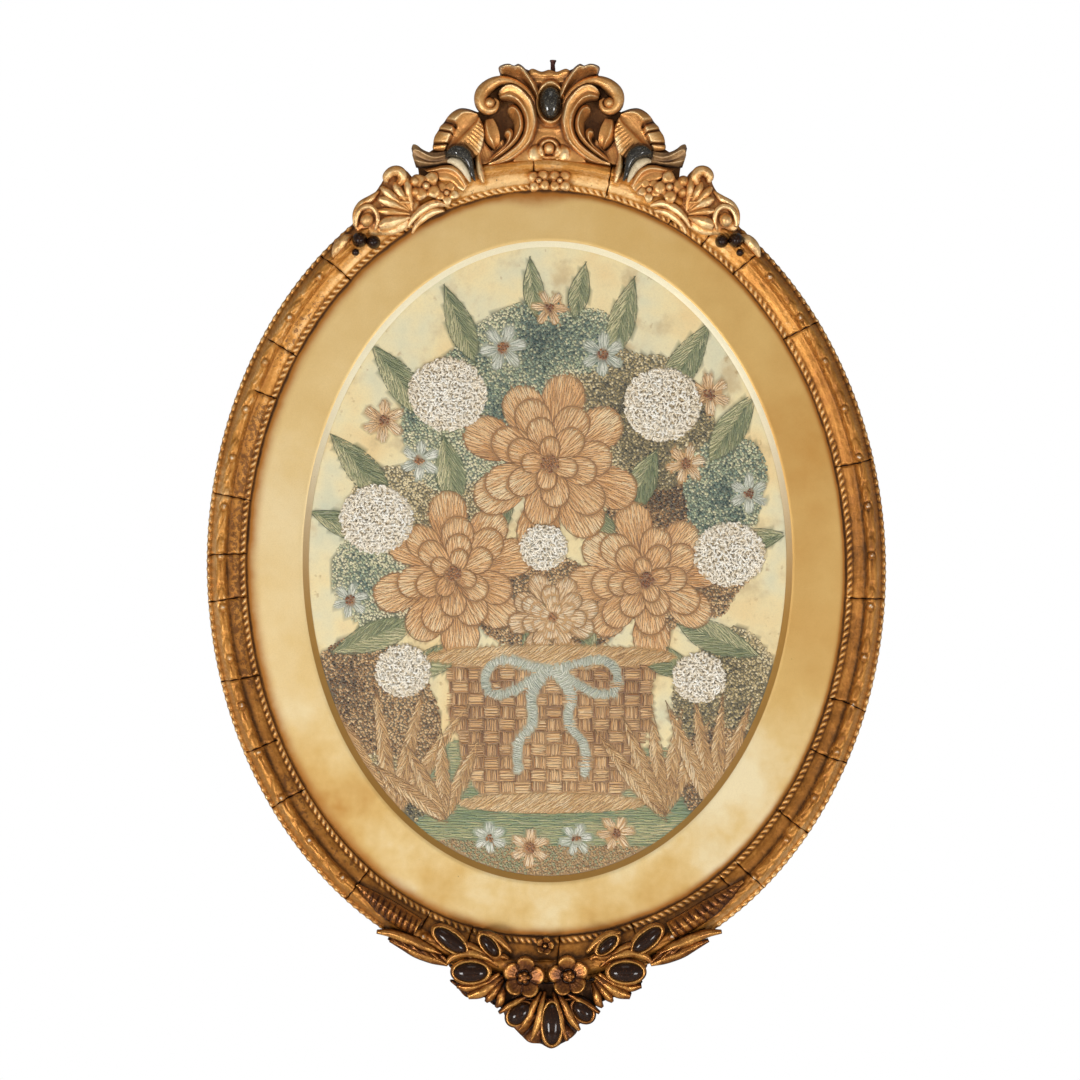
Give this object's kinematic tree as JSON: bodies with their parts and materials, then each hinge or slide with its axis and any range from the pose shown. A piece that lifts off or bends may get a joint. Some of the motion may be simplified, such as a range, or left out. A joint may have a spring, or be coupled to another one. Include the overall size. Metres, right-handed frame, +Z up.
{
  "type": "framed silkwork picture with its oval carved gilt frame, gold mat and embroidered silk",
  "caption": "Oval carved and gilded picture frame with crest and lower ornament, a gold mat with an oval opening, and an embroidered silk panel, hung upright on a wall.",
  "frame": {"origin": "middle of the frame's oval, on the back board's back plane that lies against the wall", "axes": "+Z up the picture's height, +X to the right as seen from the front, +Y out of the back into the wall, so the front faces -Y"},
  "size_m": [0.4084, 0.0265, 0.5928],
  "materials": {
    "gilding": "satin",
    "dark_gilding": "satin",
    "black_stone": "gloss",
    "mat_gold": "satin",
    "silk": "matte",
    "bare_wood": "matte",
    "iron": "matte"
  },
  "bodies": {
    "root": {"back_board": "bare_wood", "berry_left_inner": "black_stone", "berry_left_outer": "black_stone", "berry_right_inner": "black_stone", "berry_right_outer": "black_stone", "blossom_left_inner": "gilding", "blossom_left_outer": "gilding", "blossom_right_inner": "gilding", "blossom_right_outer": "gilding", "crest_panel": "gilding", "crest_pearl": "gilding", "crest_pin": "iron", "crest_plate": "gilding", "crest_stone": "black_stone", "fan_shell": "dark_gilding", "feather_left": "dark_gilding", "feather_right": "dark_gilding", "foot_bud": "gilding", "foot_flower_left": "gilding", "foot_flower_right": "gilding", "foot_plate": "dark_gilding", "frame_rail": "gilding", "frond_left": "gilding", "frond_right": "gilding", "gold_mat": "mat_gold", "horn_left": "gilding", "horn_right": "gilding", "inner_leaf_left": "gilding", "inner_leaf_right": "gilding", "knob_left": "black_stone", "knob_right": "black_stone", "leaf_low_left": "dark_gilding", "leaf_low_right": "dark_gilding", "leaf_side_left": "dark_gilding", "leaf_side_right": "dark_gilding", "lip_left": "gilding", "lip_right": "gilding", "scroll_left": "gilding", "scroll_right": "gilding", "shell_left": "dark_gilding", "shell_right": "dark_gilding", "silk_panel": "silk", "spray_left": "gilding", "spray_right": "gilding", "stone_foot_left": "black_stone", "stone_foot_middle": "black_stone", "stone_foot_right": "black_stone", "stone_high_left": "black_stone", "stone_high_right": "black_stone", "stone_low_left": "black_stone", "stone_low_right": "black_stone", "stone_small_left": "black_stone", "stone_small_right": "black_stone", "top_flower_left": "gilding", "top_flower_right": "gilding", "volute_left": "gilding", "volute_right": "gilding", "wing_left": "gilding", "wing_right": "gilding"}
  },
  "joints": []
}
